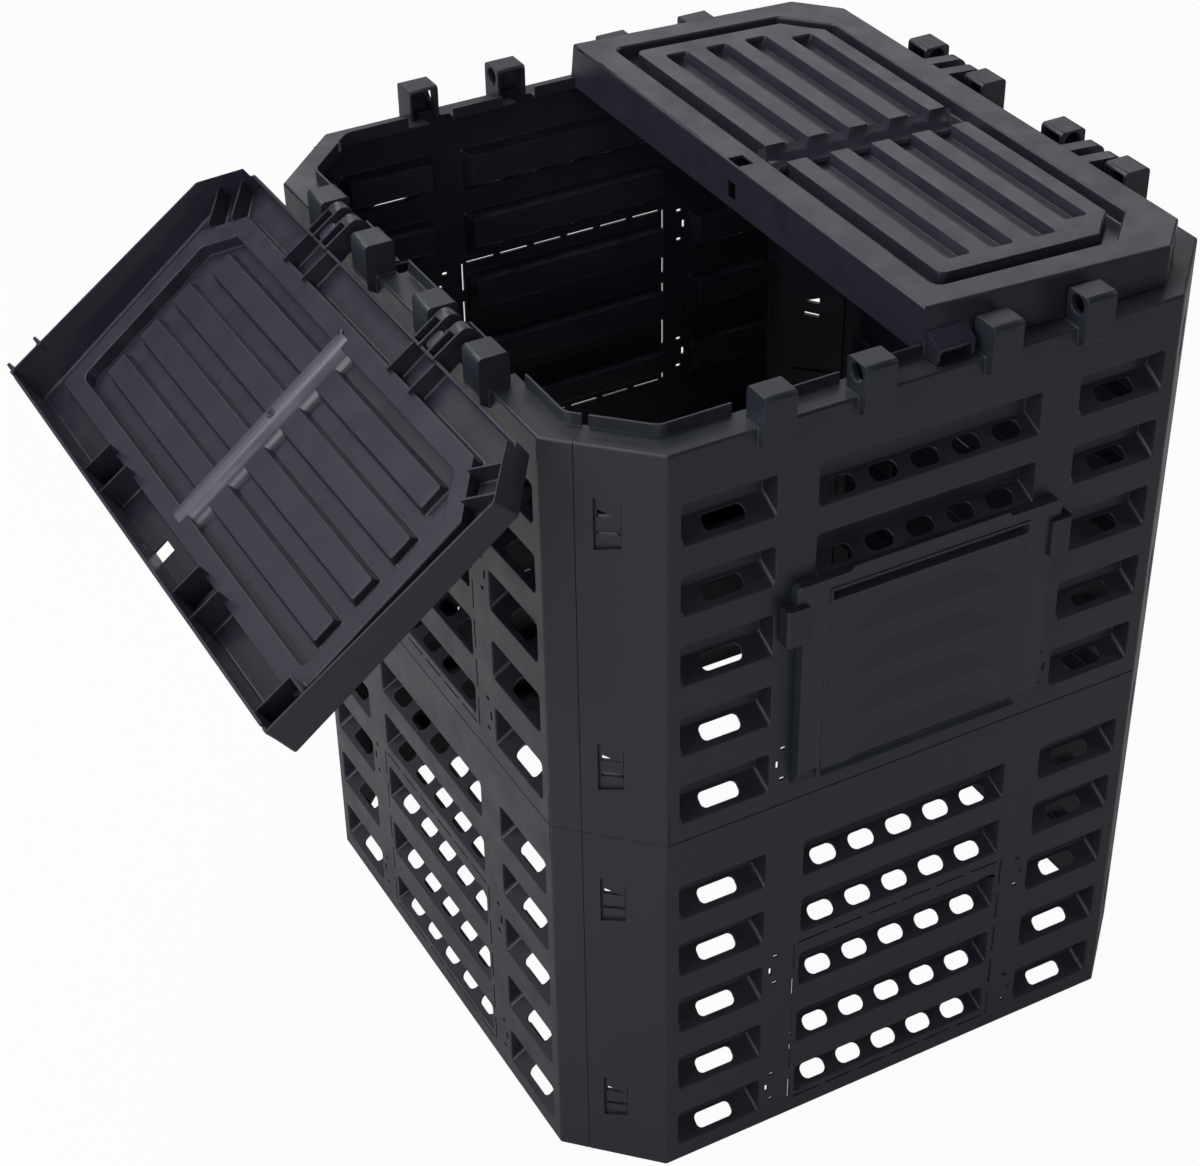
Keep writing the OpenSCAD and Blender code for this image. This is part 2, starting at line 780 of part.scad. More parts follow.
// The door's side: its face stands off the wall and tucks in at the foot. e draws it in.
module door_side(e) {
    polygon([
        [door_back + (e > 0 ? 2 : 0), door_z0 - 1],
        [door_back - 1.2 + e, door_z0 - 1],
        [-door_out + e, door_z0 + door_tuck_h],
        [-door_out + e, door_top + 1],
        [door_back + (e > 0 ? 2 : 0), door_top + 1]
    ]);
}

// Recess in the door's face with bevelled edges, cut from face depth d0 over depth d
module face_recess(x0, x1, z0, z1, d, bevel) {
    intersection() {
        along_wall(x0, x1 - x0)
            polygon([
                [-door_out - 1, z0],
                [-door_out, z0],
                [-door_out + d, z0 + bevel],
                [-door_out + d, z1 - bevel],
                [-door_out, z1],
                [-door_out - 1, z1]
            ]);
        translate([0, 0, z0 - 1]) linear_extrude(z1 - z0 + 2)
            translate([0, -half_w])
                polygon([
                    [x0, -door_out - 1],
                    [x0, -door_out],
                    [x0 + bevel, -door_out + d],
                    [x1 - bevel, -door_out + d],
                    [x1, -door_out],
                    [x1, -door_out - 1]
                ]);
    }
}

door_field_z0 = door_z0 + 4;
door_field_z1 = door_shoulder_z - 6;
grip_z0 = door_shoulder_z - 4.5;

// Louvre pressed into the field: a ramp that is deepest under its upper edge and comes up to the
// field at its lower edge. t puts the shell's thickness round it.
module louvre(i, t) {
    base = -door_out + door_field_d;
    z = door_field_z0 + 5 + i * louvre_pitch;
    lean = (louvre_w - louvre_top_w) / 2 / louvre_h;
    slope = louvre_in / louvre_h;
    over = t > 0 ? 0.5 : 0.1;
    intersection() {
        along_wall(-louvre_w, louvre_w * 2)
            polygon([
                [base + t - over, z - over / slope],
                [base + t + louvre_in + slope * t, z + louvre_h + t],
                [base + t - over, z + louvre_h + t]
            ]);
        through_wall(-door_out - 2, door_out + 4)
            polygon([
                [louvre_x - louvre_w / 2 - t - 12 * lean, z - 12],
                [louvre_x + louvre_w / 2 + t + 12 * lean, z - 12],
                [louvre_x + louvre_top_w / 2 + t - 6 * lean, z + louvre_h + 6],
                [louvre_x - louvre_top_w / 2 - t + 6 * lean, z + louvre_h + 6]
            ]);
    }
}

module access_door() {
    color(panel_colour) difference() {
        union() {
            difference() {
                intersection() {
                    through_wall(-door_out - 1, door_out + 2) door_front(0);
                    along_wall(-far * 3, far * 6) door_side(0);
                }
                intersection() {
                    through_wall(-door_out - 1, door_out + 2) door_front(door_t);
                    along_wall(-far * 3, far * 6) door_side(door_t);
                }
            }
            // back of the field and of the grip groove
            intersection() {
                through_wall(-door_out, door_out - gap) door_front(door_t);
                face_recess(-door_field_w / 2 - door_t, door_field_w / 2 + door_t,
                    door_field_z0 - door_t, door_field_z1 + door_t, door_field_d + door_t, 3);
            }
            for (i = [0:louvre_count - 1]) louvre(i, door_t);
            face_recess(-grip_w / 2 - door_t, grip_w / 2 + door_t,
                grip_z0 - door_t, grip_z0 + grip_h + door_t, door_out - gap - eps, 2.5);
            // thin lip on the top edge
            through_wall(-door_out, 1.8)
                polygon([
                    [-door_lip_w / 2, door_top - 1],
                    [door_lip_w / 2, door_top - 1],
                    [door_lip_w / 2 - door_lip_h, door_top + door_lip_h],
                    [-door_lip_w / 2 + door_lip_h, door_top + door_lip_h]
                ]);
            door_tail();
        }
        face_recess(-door_field_w / 2, door_field_w / 2,
            door_field_z0, door_field_z1, door_field_d, 4);
        for (i = [0:louvre_count - 1]) louvre(i, 0);
        face_recess(-grip_w / 2, grip_w / 2, grip_z0, grip_z0 + grip_h, grip_d, 2);
    }
}

// Tail that goes through the opening and hangs behind the sill, so that the foot can't swing out
tail_w = 204;
tail_hook = 6;
module door_tail() {
    sill = lower_h + knock_z;
    behind = wall_t + gap;
    along_wall(-tail_w / 2, tail_w)
        polygon([
            [door_back - 1, door_z0],
            [behind, sill + gap],
            [behind, sill - tail_hook],
            [behind + 2, sill - tail_hook],
            [behind + 2, door_z0 + 2.4],
            [door_back - 1, door_z0 + 2.4]
        ]);
}

// Guide clip: a leg beside the door, a lip over the door's edge and pegs through the wall.
// side is -1 for the clip at the left of the door.
module door_clip(side) {
    inner = door_w / 2 + gap;
    outer = door_w / 2 - clip_lap + clip_w;
    lip_d = door_out + gap;
    round_in = 2.5;
    along = clip_z1 - clip_z0;
    difference() {
        union() {
            translate([0, 0, clip_z0]) linear_extrude(along)
                translate([0, -half_w])
                    polygon([
                        [side * inner, -gap],
                        [side * inner, -lip_d],
                        [side * (outer - clip_w), -lip_d],
                        [side * (outer - clip_w), -clip_out + 0.8],
                        [side * (outer - clip_w + 0.8), -clip_out],
                        [side * (outer - 2.4), -clip_out],
                        [side * outer, -clip_out + 2.4],
                        [side * outer, -gap]
                    ]);
            through_wall(-gap - eps, wall_t + gap + 2) {
                for (end = [-1, 1])
                    translate([side * peg_x, lower_h + peg_z + end * peg_pitch / 2])
                        square([peg_hole_l - 2 * gap, peg_hole_h - 2 * gap], center = true);
                translate([side * peg_slot_x, lower_h + peg_z])
                    square([peg_hole_h - 2 * gap, peg_slot_h - 2 * gap], center = true);
            }
        }
        // the moulding is hollow from behind
        translate([side * (inner + outer) / 2, -half_w - gap, (clip_z0 + clip_z1) / 2])
            cube([outer - inner - 4.4, 2 * (clip_out - gap - 2.4), peg_pitch - 4.8], center = true);
    }
}

// Lids, drawn for the right-hand lid when it is closed

axis_x = half_w - axis_in;
axis_h = rim_z + axis_z;
lid_half_l = half_w - lug_in - lid_play;
lip_y = half_w - ledge_w;
lid_x0 = lid_meet;
lid_x1 = axis_x - lid_hinge_in;
lid_seat = rim_z + 2 * gap;
skirt_over_lip = rim_z + lip_h + 1.2;
lid_slope = atan((lid_free_z - lid_hinge_z) / (lid_x1 - lid_x0));
lid_top_half = lid_half_l - lid_draft;

// Height of the lid's top at x
function lid_top(x) = rim_z + lid_free_z - (x - lid_x0) * tan(lid_slope);

// Places what follows in the sloping plane of the lid's top: x from the free edge, z square to the top
module on_lid() {
    translate([lid_x0, 0, rim_z + lid_free_z]) rotate([0, lid_slope, 0]) children();
}

// Body of the lid between its drafted skirts. t draws every face in, and foot is the skirt's foot.
module lid_block(t, foot) {
    drop = lid_free_z;
    draft_t = t * sqrt(1 + pow(lid_draft / drop, 2));
    intersection() {
        translate([0, far * 6, 0]) rotate([90, 0, 0]) linear_extrude(far * 12)
            polygon([
                [lid_x0 + t, foot],
                [lid_x1 - t, foot],
                [lid_x1 - t, lid_top(lid_x1 - t) - t / cos(lid_slope)],
                [lid_x0 + t, lid_top(lid_x0 + t) - t / cos(lid_slope)]
            ]);
        rotate([90, 0, 90]) linear_extrude(half_w)
            polygon([
                [-lid_half_l + draft_t, rim_z],
                [lid_half_l - draft_t, rim_z],
                [lid_top_half - draft_t, rim_z + drop],
                [-lid_top_half + draft_t, rim_z + drop]
            ]);
        translate([0, 0, foot - far]) linear_extrude(far * 3) lid_plan(t);
    }
}

// Plan of the lid with its cut corners at the hinge side, drawn in by t
module lid_plan(t) {
    leg = lid_corner - lid_draft / 2;
    y1 = lid_half_l - t;
    cut = leg + t * (2 - sqrt(2));
    polygon([
        [lid_x0 + t, -y1],
        [lid_x1 - t - cut + 2 * t, -y1],
        [lid_x1 - t, -y1 + cut - 2 * t],
        [lid_x1 - t, y1 - cut + 2 * t],
        [lid_x1 - t - cut + 2 * t, y1],
        [lid_x0 + t, y1]
    ]);
}

lid_run = (lid_x1 - lid_x0) / cos(lid_slope);
moat_x0 = moat_free;
moat_x1 = lid_run - moat_hinge;

// Outline of the moat or the platform in the lid's plane, drawn in by e
module moat_outline(e) {
    x1 = moat_x1 - e;
    y1 = moat_half_l - e;
    cut = moat_corner - e * (2 - sqrt(2));
    r = 8;
    difference() {
        polygon([
            [moat_x0 + e, -y1],
            [x1 - cut, -y1],
            [x1, -y1 + cut],
            [x1, y1 - cut],
            [x1 - cut, y1],
            [moat_x0 + e, y1]
        ]);
        for (side = [-1, 1])
            translate([moat_x0 + e, side * y1]) difference() {
                square(2 * r, center = true);
                translate([r, -side * r]) circle(r = r);
            }
    }
}

module moat_ring(grow) {
    difference() {
        moat_outline(-grow);
        moat_outline(moat_w + grow);
    }
}

// Grooves' cross-section has sloping sides, so a groove is a profile along y. grow adds its walls.
module groove_body(i, grow) {
    middle = groove_first + i * groove_pitch;
    end = groove_half_l - (i == groove_count - 1 ? groove_short : 0) + grow;
    side_run = 3;
    half_top = groove_w / 2 + grow;
    lean = (1 + grow) * side_run / groove_d;
    translate([middle, end, 0]) rotate([90, 0, 0]) linear_extrude(2 * end)
        polygon([
            [-half_top - lean, 1],
            [-half_top + side_run, -groove_d - grow],
            [half_top - side_run, -groove_d - grow],
            [half_top + lean, 1]
        ]);
}

// Half-round cross trough from moat to moat
module trough_body(grow) {
    centre_up = trough_r - trough_d;
    translate([moat_x0 + moat_w / 2, 0, centre_up]) rotate([0, 90, 0])
        cylinder(r = trough_r + grow, h = moat_x1 - moat_x0 - moat_w);
}

// Everything pressed down into the lid's top. grow adds the walls below it.
module pressings(grow) {
    translate([0, 0, -moat_d - grow]) linear_extrude(moat_d + grow + 1) moat_ring(grow);
    for (i = [0:groove_count - 1]) groove_body(i, grow);
    trough_body(grow);
}

latch_x = lid_x0 + 2.5;

// Hood over the end skirt, beside the free edge
module skirt_hood() {
    front = -hood_box_y;
    z0 = lid_seat;
    z1 = z0 + hood_box_h;
    wall = 3;
    x0 = lid_x0 + 1.5;
    difference() {
        translate([x0, 0, 0]) rotate([90, 0, 90]) linear_extrude(hood_box_w)
            polygon([
                [front, z0],
                [-lid_half_l + 4, z0],
                [-lid_half_l + 4, z1 + 9],
                [-lid_half_l + 2, z1 + 9],
                [front, z1]
            ]);
        translate([x0 + wall, 0, 0]) rotate([90, 0, 90]) linear_extrude(hood_box_w - 2 * wall)
            polygon([
                [front - 1, z0 - 1],
                [-lid_half_l + 6, z0 - 1],
                [-lid_half_l + 6, z1 + 9 - wall * 1.6],
                [front - 1, z1 - wall * 1.6]
            ]);
    }
}

// Pocket in the other corner beside the free edge, which takes the other lid's hood when it is shut
module corner_pocket() {
    web = 2;
    pocket_l = 38;
    x1 = lid_x0 + pocket_l;
    y0 = lid_half_l - pocket_l;
    intersection() {
        lid_block(web / 2, skirt_over_lip);
        union() {
            translate([x1 - web, y0, skirt_over_lip]) cube([web, pocket_l, far]);
            translate([lid_x0, y0, skirt_over_lip]) cube([pocket_l, web, far]);
        }
    }
}

// Hinge finger: a hollow arm with a round end about the hinge axis
module finger_side(r, top_in, x0) {
    translate([axis_x, axis_h]) circle(r = r);
    polygon([
        [x0, axis_h - r],
        [axis_x, axis_h - r],
        [axis_x, axis_h + r],
        [lid_x1, lid_top(lid_x1) - top_in],
        [x0, lid_top(x0) - top_in]
    ]);
}

module finger(y0) {
    t = 2.2;
    difference() {
        translate([0, y0 + finger_w, 0]) rotate([90, 0, 0]) linear_extrude(finger_w)
            finger_side(finger_r, 0, lid_x1 - lid_t);
        translate([0, y0 + finger_w - t, 0]) rotate([90, 0, 0]) linear_extrude(finger_w - 2 * t)
            intersection() {
                finger_side(finger_r - t, t, lid_x1 - t - lid_t);
                translate([lid_x1 - far, axis_h - finger_r + t])
                    square([far + axis_x - lid_x1 + finger_r, far]);
            }
        translate([lid_x1, y0 + t, axis_h - finger_r - 1])
            cube([axis_x - lid_x1 - 4, finger_w - 2 * t, finger_r]);
    }
}

stub_collar_l = 5.5;
stub_l = finger_play + stub_collar_l + 0.5;

// Stub on the side of a finger, which turns in the hole of the lug beside it
module stub(y0) {
    difference() {
        translate([axis_x, y0 + eps, axis_h]) rotate([90, 0, 0])
            cylinder(d = hinge_hole_d - 2 * hinge_fit, h = stub_l + eps);
        translate([axis_x, y0 + 1, axis_h]) rotate([90, 0, 0])
            cylinder(d = hinge_hole_d - 5, h = stub_l + 2);
    }
}

// Plate between the two fingers of a pair, with rounded ends
module finger_bridge(y0) {
    plate_t = 2.4;
    translate([(axis_x + lid_x1) / 2, y0 + finger_space / 2, axis_h - plate_t])
        linear_extrude(plate_t) square([18, finger_space + 2 * eps], center = true);
}

// The fingers stand beside the lug at the lower y of each pair
module hinge_fingers() {
    for (start = [lug_inner_x + lug_w / 2, -lug_outer_x + lug_w / 2]) {
        y0 = start + finger_play;
        finger(y0);
        finger(y0 + finger_w + finger_space);
        stub(y0);
        finger_bridge(y0 + finger_w);
    }
}

// Webs under the lid between the skirts and the moat: a pair at each knuckle, at the free edge
// opposite, and at each cut corner
module edge_webs() {
    web = 1.8;
    corner_mid = [lid_x1 - (lid_corner - lid_draft / 2) / 2, lid_half_l - lid_corner / 2];
    intersection() {
        lid_block(lid_t / 2, skirt_over_lip + 1);
        union() {
            for (start = [lug_inner_x + lug_w / 2, -lug_outer_x + lug_w / 2], k = [0, 1])
                translate([lid_x1 - moat_hinge - 2, start + finger_play + k * web_pitch, skirt_over_lip])
                    cube([moat_hinge + 2, web, far]);
            for (side = [-1, 1], k = [-1, 1]) {
                translate([lid_x0, side * web_free_y + k * web_pitch / 2 - web / 2, skirt_over_lip])
                    cube([moat_free + 2, web, far]);
                translate([corner_mid[0], side * corner_mid[1], skirt_over_lip]) rotate([0, 0, side * 45])
                    translate([4 - corner_web_l, k * corner_web_pitch / 2 - web / 2, 0])
                        cube([corner_web_l, web, far]);
            }
        }
    }
}

module lid_closed() {
    difference() {
        union() {
            difference() {
                lid_block(0, lid_seat);
                lid_block(lid_t, lid_seat - 1);
                // the hinge-side skirt is cut short, so that it clears the rim's lip
                translate([lid_x1 - lid_t - 1, -half_w, lid_seat - 1])
                    cube([far, body_w, skirt_over_lip - lid_seat + 1]);
            }
            intersection() {
                lid_block(lid_t / 2, lid_seat);
                on_lid() pressings(lid_t - 0.3);
            }
            edge_webs();
            corner_pocket();
            skirt_hood();
            hinge_fingers();
        }
        on_lid() pressings(0);
        // latch hole in the top, and its slot in the free-edge skirt
        translate([latch_x, -latch_w / 2 + 1, rim_z + lid_free_z - 6]) cube([latch_l, latch_w, far]);
        translate([lid_x0 - 1, -skirt_slot_l / 2, lid_seat + skirt_slot_z])
            cube([lid_t + 2, skirt_slot_l, skirt_slot_h]);
        // notches in the free-edge skirt, which straddle the rim's lip at both ends
        for (side = [-1, 1])
            translate([lid_x0 - 1, side * (lip_y + lip_t / 2) - lip_t, lid_seat - 1])
                cube([lid_t + 2, 2 * lip_t, skirt_over_lip - lid_seat + 1]);
    }
}

module right_lid() {
    color(lid_colour) lid_closed();
}

// The same moulding turned half round, and swung open about its own hinge axis
module left_lid() {
    color(lid_colour)
        translate([-axis_x, 0, axis_h]) rotate([0, -lid_swing, 0]) translate([axis_x, 0, -axis_h])
            rotate([0, 0, 180]) lid_closed();
}

module front_lower_panel() { color(panel_colour) on_wall(0) lower_panel(); }
module right_lower_panel() { color(panel_colour) on_wall(1) lower_panel(); }
module back_lower_panel() { color(panel_colour) on_wall(2) lower_panel(); }
module left_lower_panel() { color(panel_colour) on_wall(3) lower_panel(); }
module front_upper_panel() { color(panel_colour) on_wall(0) upper_panel(true); }
module right_upper_panel() { color(panel_colour) on_wall(1) upper_panel(false); }
module back_upper_panel() { color(panel_colour) on_wall(2) upper_panel(false); }
module left_upper_panel() { color(panel_colour) on_wall(3) upper_panel(false); }
module left_door_clip() { color(fitting_colour) door_clip(-1); }
module right_door_clip() { color(fitting_colour) door_clip(1); }

front_lower_panel();
right_lower_panel();
back_lower_panel();
left_lower_panel();
front_upper_panel();
right_upper_panel();
back_upper_panel();
left_upper_panel();
access_door();
left_door_clip();
right_door_clip();
right_lid();
left_lid();
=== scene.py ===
"""Looks of a two-tier plastic compost bin: moulded panels, two lids, a sliding door and its clips."""

import json
import math

import bmesh
import bpy
import numpy as np
from mathutils import Matrix, Vector


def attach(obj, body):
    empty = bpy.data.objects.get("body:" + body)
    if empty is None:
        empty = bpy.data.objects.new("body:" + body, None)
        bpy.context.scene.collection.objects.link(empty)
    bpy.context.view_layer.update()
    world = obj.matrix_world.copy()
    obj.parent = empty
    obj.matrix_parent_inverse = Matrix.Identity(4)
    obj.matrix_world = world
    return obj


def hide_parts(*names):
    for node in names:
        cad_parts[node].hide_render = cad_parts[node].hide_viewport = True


MM = 0.001

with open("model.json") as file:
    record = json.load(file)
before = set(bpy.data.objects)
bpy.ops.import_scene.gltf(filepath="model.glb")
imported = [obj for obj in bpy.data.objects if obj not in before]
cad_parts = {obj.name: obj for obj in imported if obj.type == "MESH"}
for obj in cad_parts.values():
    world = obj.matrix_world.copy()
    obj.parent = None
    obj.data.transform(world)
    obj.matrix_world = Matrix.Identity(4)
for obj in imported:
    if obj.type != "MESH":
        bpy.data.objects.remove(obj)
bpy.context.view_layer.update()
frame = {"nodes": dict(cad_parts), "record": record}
body_of = {n: body for body, members in frame["record"]["behaviour"]["bodies"].items() for n in members}


# Camera: the photograph's viewpoint, fitted to the rims and seams that it shows

VIEW_AZIMUTH = math.radians(-28.202)
VIEW_ELEVATION = math.radians(36.08)
VIEW_ROLL = math.radians(-0.97)
VIEW_TARGET = Vector((-0.1336, -0.0132, 0.400))
VIEW_DISTANCE = 2.27957
SENSOR = 36.0
LENS = 76.42
SHIFT = (-0.00255, 0.01429)


def photo_camera():
    """Camera on a sphere round the target: back points from the target to the lens, and right and up are
    square to it, turned together by the roll."""
    a, e = VIEW_AZIMUTH, VIEW_ELEVATION
    back = Vector((math.sin(a) * math.cos(e), -math.cos(a) * math.cos(e), math.sin(e)))
    level = Vector((0, 0, 1)).cross(back).normalized()
    upright = back.cross(level)
    right = level * math.cos(VIEW_ROLL) + upright * math.sin(VIEW_ROLL)
    up = -level * math.sin(VIEW_ROLL) + upright * math.cos(VIEW_ROLL)
    data = bpy.data.cameras.new("photo_camera")
    data.sensor_width = SENSOR
    data.lens = LENS
    data.shift_x, data.shift_y = SHIFT
    cam = bpy.data.objects.new("photo_camera", data)
    axes = Matrix((right, up, back)).transposed().to_4x4()
    cam.matrix_world = Matrix.Translation(VIEW_TARGET + back * VIEW_DISTANCE) @ axes
    bpy.context.scene.collection.objects.link(cam)
    bpy.context.scene.camera = cam


# Materials

def linear(hex_colour):
    """sRGB hex to linear RGBA."""
    srgb = np.array([int(hex_colour[i:i + 2], 16) for i in (1, 3, 5)]) / 255
    lin = np.where(srgb <= 0.04045, srgb / 12.92, ((srgb + 0.055) / 1.055) ** 2.4)
    return (*lin, 1.0)


def add(tree, kind, inputs=None, **settings):
    """One shader node. inputs go by name or number, each fed by a socket or holding a value. Settings
    are attributes, or values of named inputs."""
    n = tree.nodes.new(kind)
    for key, value in settings.items():
        if hasattr(n, key):
            setattr(n, key, value)
        else:
            n.inputs[key.replace("_", " ")].default_value = value
    for key, source in (inputs or {}).items():
        if isinstance(source, bpy.types.NodeSocket):
            tree.links.new(source, n.inputs[key])
        else:
            n.inputs[key].default_value = source
    return n


def new_material(name):
    """A material with an empty node tree."""
    mat = bpy.data.materials.new(name)
    mat.use_nodes = True
    tree = mat.node_tree
    tree.nodes.clear()
    return mat, tree


# Sizes of what is uneven in the plastic. The grain is drawn coarser than a real one, so that it shows at this
# picture's scale.
WAVE = 90 * MM
WAVE_HEIGHT = 0.6 * MM
PATCH = 35 * MM
GRAIN = 1.2 * MM


def moulded_polypropylene(name, hex_colour, roughness, grain):
    """Injection-moulded polypropylene, coloured in the melt. It shows as a satin surface with a fine
    spark-eroded grain, slow waves where the melt cooled, and broad patches a little duller than others.
    grain is the bump's height in mm."""
    mat, tree = new_material(name)
    where = add(tree, "ShaderNodeTexCoord")
    waves = add(tree, "ShaderNodeTexNoise", {"Vector": where.outputs["Object"]},
                Scale=1 / WAVE, Detail=2.0, Roughness=0.5)
    patches = add(tree, "ShaderNodeTexNoise", {"Vector": where.outputs["Object"]},
                  Scale=1 / PATCH, Detail=4.0, Roughness=0.6)
    fine = add(tree, "ShaderNodeTexNoise", {"Vector": where.outputs["Object"]},
               Scale=1 / GRAIN, Detail=2.0, Roughness=0.6)
    dull = add(tree, "ShaderNodeMapRange", {"Value": patches.outputs["Fac"]},
               From_Min=0.35, From_Max=0.65, To_Min=roughness - 0.05, To_Max=roughness + 0.07)
    shade = add(tree, "ShaderNodeMapRange", {"Value": patches.outputs["Fac"]},
                From_Min=0.3, From_Max=0.7, To_Min=0.93, To_Max=1.07)
    tint = add(tree, "ShaderNodeHueSaturation", {"Value": shade.outputs["Result"]},
               Color=linear(hex_colour))
    slow = add(tree, "ShaderNodeBump", {"Height": waves.outputs["Fac"]}, Strength=0.5, Distance=WAVE_HEIGHT)
    bump = add(tree, "ShaderNodeBump", {"Height": fine.outputs["Fac"], "Normal": slow.outputs["Normal"]},
               Strength=0.35, Distance=grain * MM)
    skin = add(tree, "ShaderNodeBsdfPrincipled",
               {"Base Color": tint.outputs["Color"], "Roughness": dull.outputs["Result"],
                "Normal": bump.outputs["Normal"]},
               IOR=1.49)
    add(tree, "ShaderNodeOutputMaterial", {"Surface": skin.outputs["BSDF"]})
    return mat


# Mouldings

# Turns between two faces, in degrees: flat, then blunt as on an arc, then sharp, and the cut corners' folds
FLAT_TURN = 0.4
BLUNT_TURN = 1
SHARP_TURN = 32
FOLD_TURN = 45
FOLD_SPREAD = 3

# Lengths: the rim's foot is a height, and the others say from where on, or up to where, a rule holds
RIM_FOOT = 745 * MM
WELD = 0.004 * MM
ARC_STRIP = 5 * MM
DEEP_LENGTH = 10 * MM
FOLD_LENGTH = 100 * MM
LONGEST_EDGE = 16 * MM

# Shares of the room that the rounding takes, as the function below says
CORNER_SHARE = 0.45
SLIT_SHARE = 0.07
BEND_SHARE = 0.8
FACE_SHARE = 0.4

# The bend where two edges meet is the length of the sum of their directions away from the point. It counts as
# STRAIGHT_BEND at least, so that nothing is divided by zero. Below RUN_ON_BEND the edges run on into each other,
# and the smaller rounding of two is handed on RUN_ON_ROUNDS times.
STRAIGHT_BEND = 0.001
RUN_ON_BEND = 0.5
RUN_ON_ROUNDS = 24


def read(items, name, kind, width):
    """An attribute of all items as an array, with width numbers to an item."""
    values = np.empty(len(items) * width, kind)
    items.foreach_get(name, values)
    return values.reshape(-1, width) if width > 1 else values


def cut_edges(bm, longest):
    """Cuts every edge into equal parts, none of them longer than longest."""
    for e in list(bm.edges):
        start = e.verts[0]
        for parts in range(math.ceil(e.calc_length() / longest), 1, -1):
            e, start = bmesh.utils.edge_split(e, start, 1 / parts)
            e = next(other for other in start.link_edges if other is not e)


def welded(node):
    """A copy of the CAD node's own mesh, with its triangles joined into whole flat faces."""
    mesh = frame["nodes"][node].data.copy()
    bm = bmesh.new()
    bm.from_mesh(mesh)
    bmesh.ops.remove_doubles(bm, verts=bm.verts, dist=WELD)
    bmesh.ops.dissolve_limit(bm, angle_limit=math.radians(FLAT_TURN), verts=bm.verts, edges=bm.edges)
    bm.to_mesh(mesh)
    bm.free()
    return mesh


def rounding(mesh, edge, deep_axis, deep_edge, fold_edge, rim_edge):
    """How the sharp edges are rounded: the widest rounding in metres, each edge's share of it, and which
    faces are the narrow strips of an arc. Those are the faces whose area is less than ARC_STRIP times
    the length of their blunt edges.

    The rounding gets less room in three places. Where one sharp edge ends, or three or more meet, it
    is at most CORNER_SHARE of the shortest, and next to nothing at a slit, where it is SLIT_SHARE of
    the shortest squared, in mm. Along a bend it is at most BEND_SHARE of the bend's radius, which is
    an edge's length over its turn. Beside a narrow face it is at most FACE_SHARE of the face's width,
    which is twice its area over the length round it, or its area over the edge's length on an arc's
    strips. Edges that run on into each other share the smallest of theirs."""
    ends = read(mesh.edges, "vertices", np.int32, 2)
    points = read(mesh.vertices, "co", np.float32, 3)
    length = np.linalg.norm(points[ends[:, 0]] - points[ends[:, 1]], axis=1)
    normal = read(mesh.polygons, "normal", np.float32, 3)
    area = read(mesh.polygons, "area", np.float32, 1)
    owner = np.repeat(np.arange(len(area)), read(mesh.polygons, "loop_total", np.int32, 1))
    loop_edge = read(mesh.loops, "edge_index", np.int32, 1)
    # the two faces at each edge, from the loops in the order of their edges
    sides = owner[np.argsort(loop_edge, kind="stable")].reshape(-1, 2)
    cosine = np.einsum("ij,ij->i", normal[sides[:, 0]], normal[sides[:, 1]])
    turn = np.degrees(np.arccos(np.clip(cosine, -1, 1)))
    sharp = turn > SHARP_TURN
    blunt = (turn > BLUNT_TURN) & ~sharp
    blunt_length = np.bincount(sides[blunt].ravel(), np.repeat(length[blunt], 2), len(area))
    arc = area < ARC_STRIP * blunt_length

    crisp = ends[sharp]
    meeting = np.bincount(crisp.ravel(), minlength=len(points))
    nearest = np.full(len(points), np.inf)
    np.minimum.at(nearest, crisp.ravel(), np.repeat(length[sharp], 2))
    away = (points[crisp[:, 1]] - points[crisp[:, 0]]) / length[sharp, None]
    bend = np.zeros_like(points)
    np.add.at(bend, crisp[:, 0], away)
    np.add.at(bend, crisp[:, 1], -away)
    bend = np.linalg.norm(bend, axis=1)
    limit = np.where(meeting == 2, BEND_SHARE * nearest / np.maximum(bend, STRAIGHT_BEND),
                     np.minimum(CORNER_SHARE * nearest, SLIT_SHARE * nearest ** 2 / MM))
    broad = 2 * area / np.bincount(owner, length[loop_edge], len(area))
    beside = np.where(arc[sides], area[sides] / length[:, None], broad[sides]).min(axis=1)
    wish = np.full(len(length), edge * MM)
    if deep_axis is not None:
        low = points[ends, 2].max(axis=1) < RIM_FOOT
        depth = np.abs(points[ends[:, 0], deep_axis] - points[ends[:, 1], deep_axis])
        wish[low & (depth > DEEP_LENGTH)] = deep_edge * MM
        wish[(np.abs(turn - FOLD_TURN) < FOLD_SPREAD) & (length > FOLD_LENGTH)] = fold_edge * MM
        wish[points[ends, 2].min(axis=1) > RIM_FOOT] = rim_edge * MM
    widest = wish.max()
    wish = np.minimum(np.minimum(wish, limit[ends].min(axis=1)), FACE_SHARE * beside)
    running = (meeting == 2) & (bend < RUN_ON_BEND)
    for _ in range(RUN_ON_ROUNDS):
        least = np.full(len(points), np.inf)
        np.minimum.at(least, crisp.ravel(), np.repeat(wish[sharp], 2))
        least[~running] = np.inf
        wish = np.minimum(wish, least[ends].min(axis=1))
    return widest, np.where(sharp, wish / widest, 0).astype(np.float32), arc


